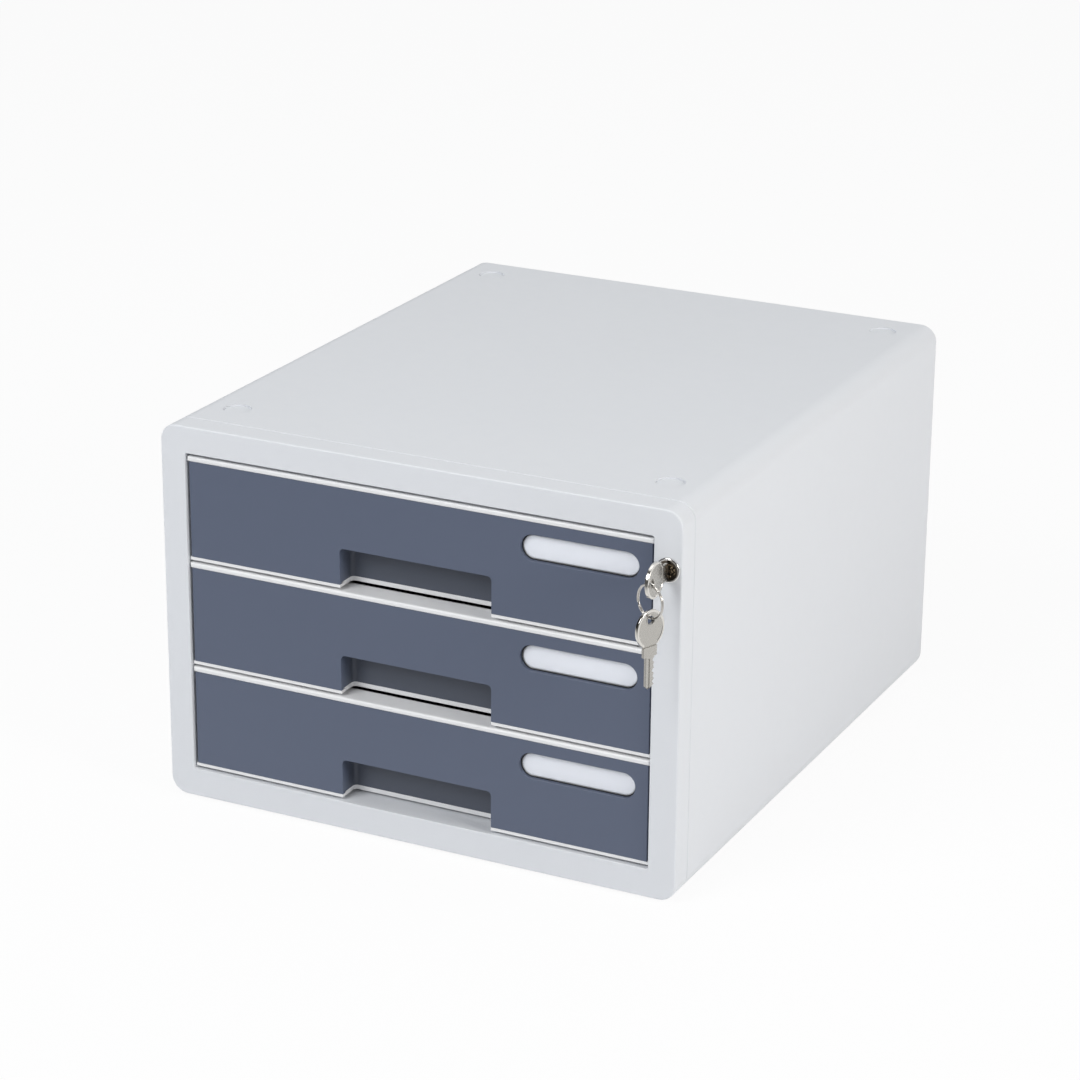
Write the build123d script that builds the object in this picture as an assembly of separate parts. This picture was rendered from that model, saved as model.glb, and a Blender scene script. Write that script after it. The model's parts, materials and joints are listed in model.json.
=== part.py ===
from build123d import *
import math
import os

# A desktop cabinet with three drawers, one lock for all three, and two keys on a ring.
#
# Pieces are drawn with x to the right, y from the front face back, and z up from the
# body's underside. save() then puts them in the part's own frame: its origin is the
# centre of the four feet, in the plane they rest on. All sizes are in millimetres.

# ------------------------------------------------------------------ housing
width = 315.0             # outside, side to side
depth = 372.0             # front face of the bezel to the rear edge of the shell
height = 221.5            # underside to top, without the feet
wall = 2.3                # moulded wall of the shell and the bezel
edge_radius = 10.0        # the four long edges
fit_gap = 0.3             # between mouldings that sit side by side
seam_bevel = 0.4          # on both sides of the seam between bezel and shell
rear_round = 0.6          # outer edge at the back

# ------------------------------------------------------------------ bezel
bezel_depth = 15.2        # front face to the seam
bezel_plate = 2.5         # thickness of the front plate
bezel_round = 1.0         # outer edge of the front face
frame_left = 15.2         # outside to opening
frame_right = 16.3
frame_top = 15.6
frame_bottom = 16.6
opening_radius = 1.5      # corners of the opening
opening_round = 0.5       # front edge of the opening
return_wall = 2.0         # the wall that runs back round the opening
return_depth = 20.0
tongue_wall = 1.6         # the tongue that plugs into the shell
tongue_length = 6.0
tongue_root = 4.0
post_radius = 3.0         # screw posts behind the front plate
post_side_gap = 0.4       # post to the shell's wall
post_length = 22.0        # from the front face
post_low = 32.0           # underside to the lower posts
post_rise = 86.0          # lower posts to upper posts
pilot_radius = 1.3
pilot_depth = 12.0

# ------------------------------------------------------------------ feet and stacking
foot_radius = 7.5
foot_height = 1.5
foot_round = 0.4
stem_radius = 2.9
stem_length = 4.5
stem_gap = 0.2
foot_inset_x = 25.5       # from the outside to a foot's axis
foot_inset_y = 24.5       # from the seam, and from the rear edge
recess_radius = 8.0
recess_depth = 0.9

# ------------------------------------------------------------------ drawers
drawers = 3
gap_top = 1.9             # opening to the top drawer
gap_between = 1.7         # drawer to drawer
gap_bottom = 1.6          # bottom drawer to opening
lip_side_gap = 0.6        # opening to the end of a drawer's lip
lip_height = 3.1
lip_front = 1.2           # lip's front, behind the bezel's front face
lip_depth = 15.4          # how far back the lip's shelf ends
lip_round = 1.2
strip_height = 1.75       # white strip under the face panel
strip_round = 0.5
tray_side_gap = 4.2       # opening to a tray's side wall
tray_front = 6.0
tray_rear_gap = 8.0       # tray's rear to the shell's rear edge
tray_wall = 2.0
tray_floor = 2.6
tray_corner = 6.0         # upright rear corners, outside
tray_bottom_round = 2.0
flange_side_gap = 2.2     # opening to the edge of a tray's side flange
flange_height = 2.6
stop_lug_inset = 8.0      # tray's rear to the front of the lug that meets the side frame's stop
stop_lug_length = 5.0
stop_drop = 5.2           # drawer's top to the top of the stop lug
stop_height = 6.0
stop_side_gap = 1.2       # opening to the end of the stop lug

# ------------------------------------------------------------------ lock catches on the trays
catch_front = 29.8        # the catch's lug stands behind the lock bar's tab
catch_plate = 1.0
catch_length = 14.0
catch_low = 8.0           # above the drawer's underside
catch_height = 8.0
catch_side_gap = 0.5      # opening to the end of the lug
rivet_radius = 1.0
rivet_head_radius = 1.8
rivet_head = 0.5
rivet_gap = 0.1
rivet_first = 4.5         # lug to the first rivet
rivet_pitch = 6.0

# ------------------------------------------------------------------ face panels
face_side_gap = 1.5
face_front = 1.8          # behind the bezel's front face
face_plate = 2.5
face_round = 0.3
face_rim = 1.2            # rim behind the plate, which meets the tray
face_rim_inset = 4.2      # panel's side to the rim
face_rim_gap = 0.15
peg_radius = 2.0
peg_gap = 0.2
peg_length = 5.0
peg_inset = 9.0           # tray's side to a peg's axis
peg_rise = 9.0            # drawer's underside to the lower pegs
peg_drop = 30.8           # drawer's top to the upper pegs
pocket_width = 92.6
pocket_height = 22.9      # above the drawer's underside
pocket_back = 15.6        # pocket's back wall, behind the bezel's front face
pocket_corner = 2.5
pocket_wall = 1.8
pocket_gap = 0.4          # pocket moulding to tray

# ------------------------------------------------------------------ labels
label_width = 69.0        # hole in the panel
label_height = 14.7
label_inset = 43.5        # opening's right side to the label's centre
label_drop = 17.5         # drawer's top to the label's centre
label_bevel = 0.3
window_set_back = 2.3     # window's face behind the panel's face
window_gap = 0.7          # window's raised part to the hole
window_plate = 0.4
window_flange = 1.4       # how far the flange reaches behind the panel
window_flange_plate = 0.8
window_rim = 0.3          # raised part's edge to the card's pocket
card_gap = 0.1
card_plate = 0.4
layer_gap = 0.1

# ------------------------------------------------------------------ side frames
frame_plate = 1.8
frame_front = 32.0
frame_rear_gap = 10.0     # side frame's rear to the shell's rear edge
frame_low = 12.0
frame_high_gap = 12.5     # body's top to the plate's top
ledge_gap = 0.5           # ledge to tray wall
ledge_plate = 2.0
carry_gap = 0.3           # ledge to the flange it carries
stop_front = 75.0         # stop on the side frame
stop_length = 4.0
stop_gap = 1.0            # left at full travel
arm_height = 12.0
arm_plate = 2.0
arm_gap = 0.4             # arm to shell
boss_radius = 3.5
boss_length = 12.0
boss_inset = 30.5         # body's underside and top to the rear screws

# ------------------------------------------------------------------ rear panel
rear_plate = 2.5
rear_set_back = 2.0       # panel's face in front of the shell's rear edge
rear_gap = 0.3
rear_stop_x = 80.0
rear_stop_width = 6.0
rear_stop_height = 20.0
rear_stop_low = 20.0
rear_stop_gap = 0.3       # stop to the closed drawer

# ------------------------------------------------------------------ screws
screw_radius = 1.2
screw_length = 12.0
screw_head_radius = 2.6
screw_head_height = 1.6
screw_hole_radius = 1.6
screw_slot = 0.7

# ------------------------------------------------------------------ lock
lock_side_gap = 0.2       # barrel to the bezel's wall
lock_drop = 32.5          # body's top to the lock's axis
flange_radius = 6.8
flange_height_out = 1.6
flange_round = 1.0
barrel_radius = 5.3
barrel_length = 21.3
barrel_hole_gap = 0.1
barrel_clear = 0.5
plug_radius = 4.1
plug_clearance = 0.05
plug_face = 1.3           # plug's face in front of the bezel's
plug_length = 21.6
plug_square = 5.0
keyway_width = 2.4
keyway_height = 6.6
keyway_length = 18.4
clip_groove_front = 2.7
clip_groove_length = 1.4
clip_flat = 4.5           # barrel's half width across the groove's flats
clip_leg = 0.7
clip_plate = 1.1
clip_above = 9.0
clip_below = 8.0
wafers = 5
wafer_first = 2.5
wafer_pitch = 3.0
wafer_plate = 0.8
wafer_width = 4.8
wafer_height = 7.5
wafer_slot_gap = 0.1
wafer_window_width = 2.7
wafer_window_height = 6.5

# ------------------------------------------------------------------ cam and lock bar
turn_degrees = 90.0
cam_plate = 2.0
cam_hub = 4.6
cam_end = 2.4
cam_square_gap = 0.1
pin_throw = 5.0           # lock axis to drive pin
pin_radius = 1.2
pin_length = 6.0
pin_angle = 135.0         # unlocked: up and towards the drawers
slot_side_gap = 0.4
bar_front = 27.0
bar_plate = 2.2
bar_side_gap = 2.0        # opening to the bar
bar_width = 4.0
bar_low = 22.0
bar_head_side_gap = 0.4   # opening to the bar's head
bar_head_width = 8.0
bar_head_half = 7.0
tab_side_gap = 1.9        # opening to the tab's end
tab_low = 17.2            # above the drawer's underside, unlocked
tab_height = 8.0
guide_rise = 49.5         # drawer's underside to a guide's middle
guide_half = 5.0
guide_wall = 1.6
guide_gap = 0.3
cam_screw_head = 2.4
cam_screw_length = 5.0

# ------------------------------------------------------------------ keys and ring
key_plate = 2.0
bow_half_length = 10.5
bow_half_width = 9.7
bow_hole_radius = 2.3
bow_hole_offset = 4.9     # from the bow's centre, away from the blade
shoulder_length = 4.7
shoulder_width = 9.6
blade_length = 18.1
blade_width = 6.0
blade_plate = 1.9
tip_taper = 1.9
flute_width = 1.4
flute_depth = 0.45
flute_offset = -0.9
flute_gap = 0.8           # shoulder to the start of the flute
cut_pitch = 3.0
cut_depths = (1.1, 0.6, 1.4, 0.8, 1.2)
cut_half = 1.0
key_seat = 0.7            # shoulder to the plug's face
ring_wire = 0.9
ring_radius = 9.0         # centre line
ring_turn = -21.5         # which way the ring faces, from straight ahead
ring_slack = 0.5          # ring to the hole it hangs in
spare_slack = 0.4

# ------------------------------------------------------------------ worked-out places
lock_x = width / 2 - wall - lock_side_gap - barrel_radius
lock_z = height - lock_drop
post_heights = (post_low, post_low + post_rise)
boss_heights = (boss_inset, height - boss_inset)
tray_rear = depth - tray_rear_gap
stop_lug_front = tray_rear - stop_lug_inset
frame_rear = depth - frame_rear_gap
opening_left = -width / 2 + frame_left
opening_right = width / 2 - frame_right
opening_low = frame_bottom
opening_high = height - frame_top
opening_x = (opening_left + opening_right) / 2
opening_z = (opening_low + opening_high) / 2
opening_width = opening_right - opening_left
opening_height = opening_high - opening_low
drawer_height = (opening_height - gap_top - gap_bottom - (drawers - 1) * gap_between) / drawers
drawer_pitch = drawer_height + gap_between
face_back = face_front + face_plate
stop_rear = stop_front + stop_length
travel = stop_lug_front - stop_rear - stop_gap
rear_front = depth - rear_set_back - rear_plate
seam = bezel_depth + fit_gap
foot_front_y = bezel_depth + foot_inset_y
foot_rear_y = depth - foot_inset_y
foot_x = width / 2 - foot_inset_x
post_x = width / 2 - wall - post_side_gap - post_radius
arm_front = post_length + fit_gap
origin_y = (foot_front_y + foot_rear_y) / 2
bar_travel = 2 * pin_throw * math.sin(math.radians(turn_degrees / 2))
pin_rise = pin_throw * math.sin(math.radians(pin_angle))
pin_side = pin_throw * math.cos(math.radians(pin_angle))
shoulder_y = -plug_face - key_seat
bow_y = shoulder_y - shoulder_length - bow_half_length
hole_y = bow_y - bow_hole_offset
ring_top = lock_z - bow_hole_radius + ring_wire + ring_slack
ring_z = ring_top - ring_radius
spare_hole_z = ring_z - ring_radius - bow_hole_radius + ring_wire + spare_slack
spare_bow_z = spare_hole_z - bow_hole_offset


def drawer_low(number):
    """Underside of drawer 1, 2 or 3, counted from the top."""
    return opening_low + gap_bottom + (drawers - number) * drawer_pitch


bar_left = opening_right + bar_side_gap
bar_head_left = opening_right + bar_head_side_gap
guide_heights = [drawer_low(number) + guide_rise for number in range(2, drawers + 1)]


# ------------------------------------------------------------------ helpers
def slab(x0, x1, y0, y1, z0, z1):
    """A box between two corners."""
    centre = Pos((x0 + x1) / 2, (y0 + y1) / 2, (z0 + z1) / 2)
    return centre * Box(abs(x1 - x0), abs(y1 - y0), abs(z1 - z0))


def upright(y):
    """The upright plane at y, seen from the front: its x is x, its y is z."""
    return Plane(origin=(0, y, 0), x_dir=(1, 0, 0), z_dir=(0, -1, 0))


def prism(outline, y0, y1):
    """An outline drawn from the front, carried from y0 back to y1."""
    return extrude(upright(y1) * outline, amount=y1 - y0)


def round_frame(inset, y0, y1):
    """The body's rounded section, drawn in by inset."""
    radius = max(edge_radius - inset, 0.8)
    outline = RectangleRounded(width - 2 * inset, height - 2 * inset, radius)
    return prism(Pos(0, height / 2) * outline, y0, y1)


def rod(x, z, radius, y0, y1):
    """A round bar along y."""
    return prism(Pos(x, z) * Circle(radius), y0, y1)


def pillar(x, y, radius, z0, z1):
    """A round bar along z."""
    return Pos(x, y, (z0 + z1) / 2) * Cylinder(radius, z1 - z0)


def plan(x0, x1, y0, y1, z0, z1, radius):
    """A block whose upright edges are rounded."""
    outline = RectangleRounded(x1 - x0, y1 - y0, radius)
    place = Pos((x0 + x1) / 2, (y0 + y1) / 2, z0)
    return place * extrude(outline, amount=z1 - z0)


def save(name, shape):
    """Move a piece to the part's own frame and write it under its node's name."""
    solids = (Pos(0, -origin_y, foot_height) * shape).solids()
    placed = solids[0] if len(solids) == 1 else Compound(children=list(solids))
    export_step(placed, f"parts/{name}.step")
    print(f"{name}: {len(solids)} solid(s), {sum(s.volume for s in solids) / 1000:.2f} cm3")


# ------------------------------------------------------------------ housing pieces
def housing_shell():
    """The sleeve: open at both ends, with foot holes below and stacking recesses on top."""
    shell = round_frame(0, seam, depth) - round_frame(wall, seam - 1, depth + 1)
    front_edges = shell.faces().sort_by(Axis.Y)[0].outer_wire().edges()
    shell = chamfer(front_edges, seam_bevel)
    rear_edges = shell.faces().sort_by(Axis.Y)[-1].outer_wire().edges()
    shell = fillet(rear_edges, rear_round)
    for x in (-foot_x, foot_x):
        for y in (foot_front_y, foot_rear_y):
            shell -= pillar(x, y, stem_radius + stem_gap, -1, wall + 1)
            shell -= pillar(x, y, recess_radius, height - recess_depth, height + 1)
    return shell


def front_bezel():
    """The hollow frame in front of the shell, with a return wall round the opening."""
    block = round_frame(0, 0, bezel_depth)
    block = fillet(block.faces().sort_by(Axis.Y)[0].edges(), bezel_round)
    block = chamfer(block.faces().sort_by(Axis.Y)[-1].edges(), seam_bevel)
    frame = block - round_frame(wall, bezel_plate, bezel_depth + 1)
    tongue_inset = wall + fit_gap
    tongue = round_frame(tongue_inset, bezel_depth - tongue_root, bezel_depth + tongue_length)
    tongue += round_frame(wall - 0.1, bezel_depth - tongue_root, bezel_depth - seam_bevel - 0.2)
    tongue -= round_frame(tongue_inset + tongue_wall, 0, bezel_depth + tongue_length + 1)
    frame += tongue
    outer = RectangleRounded(opening_width + 2 * return_wall, opening_height + 2 * return_wall,
                             opening_radius + return_wall)
    frame += prism(Pos(opening_x, opening_z) * outer, 1, return_depth)
    for x in (-post_x, post_x):
        for z in post_heights:
            frame += rod(x, z, post_radius, 1, post_length)
    opening = Pos(opening_x, opening_z) * RectangleRounded(opening_width, opening_height,
                                                           opening_radius)
    frame -= prism(opening, -1, return_depth + 1)
    inner_edges = frame.faces().sort_by(Axis.Y)[0].inner_wires()[0].edges()
    frame = fillet(inner_edges, opening_round)
    for x in (-post_x, post_x):
        for z in post_heights:
            frame -= rod(x, z, pilot_radius, post_length - pilot_depth, post_length + 1)
    frame -= rod(lock_x, lock_z, barrel_radius + barrel_clear, bezel_plate, barrel_length + 1)
    frame -= rod(lock_x, lock_z, barrel_radius + barrel_hole_gap, -1, bezel_plate + 1)
    return frame


def rear_panel():
    """The plate that closes the back, with ribs that stop the closed drawers."""
    panel = round_frame(wall + rear_gap, rear_front, rear_front + rear_plate)
    for number in range(1, drawers + 1):
        low = drawer_low(number) + rear_stop_low
        for x in (-rear_stop_x, rear_stop_x):
            panel += slab(x - rear_stop_width / 2, x + rear_stop_width / 2,
                          tray_rear + rear_stop_gap, rear_front + 1, low, low + rear_stop_height)
    for x in (-post_x, post_x):
        for z in boss_heights:
            panel -= rod(x, z, screw_hole_radius, rear_front - 1, rear_front + rear_plate + 1)
    return panel


def side_frame(side):
    """One of the two frames that carry the drawers: side is -1 for left and 1 for right."""
    edge = opening_left if side < 0 else opening_right
    inner = edge + side * fit_gap
    outer = inner + side * frame_plate
    tray_wall_x = edge - side * tray_side_gap
    shell_x = side * (width / 2 - wall - arm_gap)
    bar_clear = side * (post_x - post_radius)
    frame = slab(inner, outer, frame_front, frame_rear, frame_low, height - frame_high_gap)
    for number in range(1, drawers + 1):
        top = drawer_low(number) + drawer_height
        carry = top - flange_height - carry_gap
        frame += slab(tray_wall_x + side * ledge_gap, outer, frame_front, frame_rear,
                      carry - ledge_plate, carry)
        frame += slab(edge - side * (tray_side_gap - 1), outer, stop_front, stop_rear,
                      top - stop_drop - stop_height, carry)
    for z in post_heights:
        low = z - arm_height / 2
        high = z + arm_height / 2
        frame += slab(inner, shell_x, frame_front, frame_front + arm_plate, low, high)
        frame += slab(bar_clear, shell_x, arm_front, frame_front + arm_plate, low, high)
        frame -= rod(side * post_x, z, screw_hole_radius, arm_front - 1, arm_front + arm_plate)
        frame -= rod(side * post_x, z, screw_head_radius + fit_gap, arm_front + arm_plate,
                     frame_front + arm_plate + 1)
    for z in boss_heights:
        boss_rear = rear_front - fit_gap
        frame += slab(inner, side * post_x, boss_rear - boss_length, frame_rear,
                      z - arm_height / 2, z + arm_height / 2)
        frame += rod(side * post_x, z, boss_radius - arm_gap, boss_rear - boss_length, boss_rear)
        frame -= rod(side * post_x, z, pilot_radius, boss_rear - boss_length + 1, boss_rear + 1)
    if side > 0:
        for z in guide_heights:
            frame += slab(inner, shell_x, frame_front, frame_front + arm_plate,
                          z - guide_half, z + guide_half)
    return frame


def screw(x, z, head_y, direction):
    """A pan-head screw along y. direction is -1 when its point is towards the front."""
    shank = rod(x, z, screw_radius, *sorted((head_y, head_y + direction * screw_length)))
    top_y = head_y - direction * screw_head_height
    head = rod(x, z, screw_head_radius, *sorted((head_y, top_y)))
    head = fillet(head.faces().sort_by(Axis.Y)[0 if direction > 0 else -1].edges(), 0.6)
    slot = slab(x - screw_slot / 2, x + screw_slot / 2, top_y - 0.6, top_y + 0.6,
                z - screw_head_radius, z + screw_head_radius)
    return shank + head - slot


def front_screws():
    """Four screws that draw the side frames to the bezel's posts."""
    head_y = arm_front + arm_plate
    return Compound(children=[screw(x, z, head_y, -1)
                              for x in (-post_x, post_x) for z in post_heights])


def rear_screws():
    """Four screws that hold the rear panel to the side frames."""
    head_y = rear_front + rear_plate
    return Compound(children=[screw(x, z, head_y, -1).solid()
                              for x in (-post_x, post_x) for z in boss_heights])


def foot(x, y):
    """A rubber foot: a pad below the shell and a stem that plugs into it."""
    pad = pillar(x, y, foot_radius, -foot_height, 0)
    pad = fillet(pad.edges().sort_by(Axis.Z)[0], foot_round)
    return pad + pillar(x, y, stem_radius, -0.1, stem_length)


# ------------------------------------------------------------------ drawer pieces
def pocket_block(grow, y0, y1, low, high, radius):
    """The finger pocket's space, grown by a margin, its top and rear edges rounded."""
    half = pocket_width / 2 + grow
    block = slab(-half, half, y0, y1, low, high)
    rear = block.edges().filter_by(Axis.Z).group_by(Axis.Y)[-1]
    top = block.edges().filter_by(Axis.Y).group_by(Axis.Z)[-1]
    across = block.edges().filter_by(Axis.X).group_by(Axis.Z)[-1].sort_by(Axis.Y)[-1:]
    return fillet(rear + top + across, radius)


def drawer_tray(number):
    """The white tray: floor, walls, carrying flange, front lip and the two kinds of lug."""
    low = drawer_low(number)
    top = low + drawer_height
    left = opening_left + tray_side_gap
    right = opening_right - tray_side_gap
    tub = plan(left, right, tray_front, tray_rear, low, top, tray_corner)
    front = slab(left, right, tray_front, tray_front + 2 * tray_corner, low, top)
    tub = tub + front
    underside = tub.faces().sort_by(Axis.Z)[0].edges()
    side_and_rear = [e for e in underside if e.center().Y > tray_front + 1]
    tub = fillet(side_and_rear, tray_bottom_round)
    flange = plan(opening_left + flange_side_gap, opening_right - flange_side_gap,
                  tray_front, tray_rear, top - flange_height, top, tray_corner)
    lip = slab(opening_left + lip_side_gap, opening_right - lip_side_gap, lip_front, lip_depth,
               top - lip_height, top)
    lip_edges = lip.faces().sort_by(Axis.Y)[0].edges()
    lip = fillet(lip_edges, lip_round)
    strip = slab(opening_left + lip_side_gap, opening_right - lip_side_gap, face_front,
                 tray_front + 1, low, low + strip_height)
    strip = fillet(strip.faces().sort_by(Axis.Y)[0].edges().filter_by(Axis.Z), strip_round)
    tray = tub + flange + lip + strip
    hollow = plan(left + tray_wall, right - tray_wall, tray_front + tray_wall,
                  tray_rear - tray_wall, low + tray_floor, top + 1, tray_corner - tray_wall)
    hollow = fillet(hollow.faces().sort_by(Axis.Z)[0].edges(), tray_bottom_round)
    shelf = slab(left - 1, right + 1, lip_front, lip_depth, top - lip_height, top + 2)
    grow = pocket_wall + pocket_gap
    case_top = low + pocket_height + grow + tray_wall
    case = slab(-pocket_width / 2 - grow - tray_wall, pocket_width / 2 + grow + tray_wall,
                tray_front, pocket_back + grow + tray_wall, low + tray_floor, case_top)
    tray -= hollow - shelf - case
    tray -= pocket_block(grow, 0, pocket_back + grow, low + tray_floor,
                         low + pocket_height + grow, pocket_corner + grow)
    reach = plan(-pocket_width / 2, pocket_width / 2, -pocket_back, pocket_back,
                 low - 1, low + tray_floor + 1, pocket_corner)
    tray -= reach
    for y in rivet_places():
        hole = Pos(right, y, low + catch_low + catch_height / 2) * Rot(0, 90, 0)
        tray -= hole * Cylinder(rivet_radius + rivet_gap, 4 * tray_wall)
    for wall_x, edge_x in ((left + 1, opening_left + stop_side_gap),
                           (right - 1, opening_right - stop_side_gap)):
        tray += slab(wall_x, edge_x, stop_lug_front, stop_lug_front + stop_lug_length,
                     top - stop_drop - stop_height + 0.5, top - stop_drop)
    for x, z in peg_places(number):
        tray -= rod(x, z, peg_radius + peg_gap, tray_front - 1, tray_front + tray_wall + 1)
    return tray


def rivet_places():
    """Where along y the two rivets of a catch stand."""
    return (catch_front + rivet_first, catch_front + rivet_first + rivet_pitch)


def drawer_catch(number):
    """The steel angle riveted to the tray's right side, which the lock bar's tab stops."""
    side = opening_right - tray_side_gap
    low = drawer_low(number) + catch_low
    high = low + catch_height
    catch = slab(side + layer_gap, side + layer_gap + catch_plate, catch_front,
                 catch_front + catch_length, low, high)
    catch += slab(side + layer_gap, opening_right - catch_side_gap, catch_front,
                  catch_front + catch_plate, low, high)
    inside = side - tray_wall - layer_gap
    for y in rivet_places():
        middle = Pos(0, y, (low + high) / 2) * Rot(0, 90, 0)
        shank = side + layer_gap + catch_plate / 2 - inside
        catch += Pos(inside + shank / 2, 0, 0) * middle * Cylinder(rivet_radius, shank)
        catch += Pos(inside - rivet_head / 2, 0, 0) * middle * Cylinder(rivet_head_radius,
                                                                       rivet_head)
    return catch


def peg_places(number):
    """Where the face panel's four pegs go through the tray's front wall."""
    low = drawer_low(number)
    xs = (opening_left + tray_side_gap + peg_inset, opening_right - tray_side_gap - peg_inset)
    zs = (low + peg_rise, low + drawer_height - peg_drop)
    return [(x, z) for x in xs for z in zs]


def label_place(number):
    """Centre of a drawer's label, seen from the front."""
    return Pos(opening_right - label_inset, drawer_low(number) + drawer_height - label_drop)


def face_panel(number):
    """The slate panel: plate, rim and pegs behind it, finger pocket and label hole."""
    low = drawer_low(number)
    left = opening_left + face_side_gap
    right = opening_right - face_side_gap
    base = low + strip_height
    top = low + drawer_height - lip_height
    plate = slab(left, right, face_front, face_back, base, top)
    plate = fillet(plate.faces().sort_by(Axis.Y)[0].edges(), face_round)
    rim_left = left + face_rim_inset
    rim_right = right - face_rim_inset
    rim_back = tray_front - face_rim_gap
    rim_low = low + tray_floor + 0.5
    rim = slab(rim_left, rim_right, face_front + 1, rim_back, rim_low, top - 1)
    rim -= slab(rim_left + face_rim, rim_right - face_rim, face_front, rim_back + 1,
                rim_low + face_rim, top - 1 - face_rim)
    panel = plate + rim
    panel += pocket_block(pocket_wall, face_front + 1, pocket_back + pocket_wall,
                          low + tray_floor, low + pocket_height + pocket_wall,
                          pocket_corner + pocket_wall)
    panel -= pocket_block(0, 0, pocket_back, low - 1, low + pocket_height, pocket_corner)
    for x, z in peg_places(number):
        panel += rod(x, z, peg_radius, face_front + 1, tray_front + peg_length - 1)
    panel -= prism(stadium(number, 0), face_front - 1, rim_back + 1)
    rim_edges = [e for e in panel.faces().sort_by(Axis.Y)[0].edges()
                 if abs(e.center().X - (opening_right - label_inset)) < label_width / 2 + 1
                 and abs(e.center().Z - (top + lip_height - label_drop)) < label_height]
    return chamfer(rim_edges, label_bevel)


def stadium(number, shrink):
    """A label's round-ended outline, drawn in on all sides by shrink."""
    return label_place(number) * SlotOverall(label_width - 2 * shrink, label_height - 2 * shrink)


def label_window(number):
    """The clear pane in the panel's label hole, with a flange behind and a pocket for the card."""
    front = face_front + window_set_back
    flange_front = face_back + layer_gap
    window = prism(stadium(number, window_gap), front, flange_front + 0.1)
    window += prism(stadium(number, -window_flange), flange_front,
                    flange_front + window_flange_plate)
    return window - prism(stadium(number, window_gap + window_rim), front + window_plate,
                          flange_front + window_flange_plate + 1)


def label_card(number):
    """The paper card in the window's pocket."""
    front = face_front + window_set_back + window_plate + card_gap / 2
    outline = stadium(number, window_gap + window_rim + card_gap)
    return prism(outline, front, front + card_plate)


# ------------------------------------------------------------------ lock pieces
def lock_cylinder():
    """Chrome flange and barrel, with the plug's bore and the clip's flats."""
    face = rod(lock_x, lock_z, flange_radius, -flange_height_out, 0)
    face = fillet(face.faces().sort_by(Axis.Y)[0].edges(), flange_round)
    body = face + rod(lock_x, lock_z, barrel_radius, -0.5, barrel_length)
    body -= rod(lock_x, lock_z, plug_radius + plug_clearance, -3, barrel_length + 1)
    for side in (-1, 1):
        body -= slab(lock_x + side * clip_flat, lock_x + side * (barrel_radius + 1),
                     clip_groove_front, clip_groove_front + clip_groove_length,
                     lock_z - barrel_radius, lock_z + barrel_radius)
    return body


def lock_plug():
    """The part that the key turns: keyway, wafer slots, and a square for the cam."""
    plug = rod(lock_x, lock_z, plug_radius, -plug_face, plug_length)
    square = Pos(lock_x, lock_z) * Rectangle(plug_square, plug_square)
    plug += prism(square, plug_length - 1, plug_length + cam_plate + 2 * layer_gap)
    plug -= slab(lock_x - keyway_width / 2, lock_x + keyway_width / 2, -plug_face - 1,
                 keyway_length, lock_z - keyway_height / 2, lock_z + keyway_height / 2)
    for y in wafer_places():
        plug -= slab(lock_x - wafer_width / 2 - wafer_slot_gap,
                     lock_x + wafer_width / 2 + wafer_slot_gap,
                     y - wafer_slot_gap, y + wafer_plate + wafer_slot_gap,
                     lock_z - plug_radius, lock_z + plug_radius)
    return plug - rod(lock_x, lock_z, pilot_radius, plug_length - 1.5, plug_length + 4)


def wafer_places():
    """Front face of each wafer."""
    return [wafer_first + wafer_pitch * number for number in range(wafers)]


def lock_wafers():
    """The flat tumblers, drawn in by the key, so that none reaches past the plug."""
    plates = []
    for y in wafer_places():
        plate = slab(lock_x - wafer_width / 2, lock_x + wafer_width / 2, y, y + wafer_plate,
                     lock_z - wafer_height / 2, lock_z + wafer_height / 2)
        plate = plate & rod(lock_x, lock_z, plug_radius - 0.1, y, y + wafer_plate)
        plate -= slab(lock_x - wafer_window_width / 2, lock_x + wafer_window_width / 2,
                      y - 1, y + wafer_plate + 1,
                      lock_z - wafer_window_height / 2, lock_z + wafer_window_height / 2)
        plates.append(plate.solid())
    return Compound(children=plates)


def lock_clip():
    """The horseshoe clip that holds the barrel behind the bezel's plate."""
    inner = clip_flat + layer_gap
    y0 = clip_groove_front + layer_gap
    clip = slab(lock_x - inner - clip_leg, lock_x + inner + clip_leg, y0, y0 + clip_plate,
                lock_z - clip_below, lock_z + clip_above)
    return clip - slab(lock_x - inner, lock_x + inner, y0 - 1, y0 + clip_plate + 1,
                       lock_z - clip_below - 1, lock_z + barrel_radius + layer_gap)


def lock_cam():
    """The cam on the plug's square, with the pin that drives the lock bar."""
    y0 = plug_length + layer_gap
    hub = Pos(lock_x, lock_z) * Circle(cam_hub)
    end = Pos(lock_x + pin_side, lock_z + pin_rise) * Circle(cam_end)
    cam = prism(make_hull(hub.edges() + end.edges()), y0, y0 + cam_plate)
    square = plug_square + 2 * cam_square_gap
    cam -= prism(Pos(lock_x, lock_z) * Rectangle(square, square), y0 - 1, y0 + cam_plate + 1)
    return cam + rod(lock_x + pin_side, lock_z + pin_rise, pin_radius, y0 + 0.5,
                     y0 + cam_plate + pin_length)


def cam_screw():
    """The screw that clamps the cam to the plug."""
    y0 = plug_length + cam_plate + 3 * layer_gap
    head = rod(lock_x, lock_z, cam_screw_head, y0, y0 + screw_head_height)
    head = fillet(head.faces().sort_by(Axis.Y)[-1].edges(), 0.4)
    slot = slab(lock_x - screw_slot / 2, lock_x + screw_slot / 2,
                y0 + screw_head_height - 0.6, y0 + screw_head_height + 1,
                lock_z - cam_screw_head, lock_z + cam_screw_head)
    return head - slot + rod(lock_x, lock_z, screw_radius, y0 - cam_plate - 1.2, y0 + 0.2)


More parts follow.
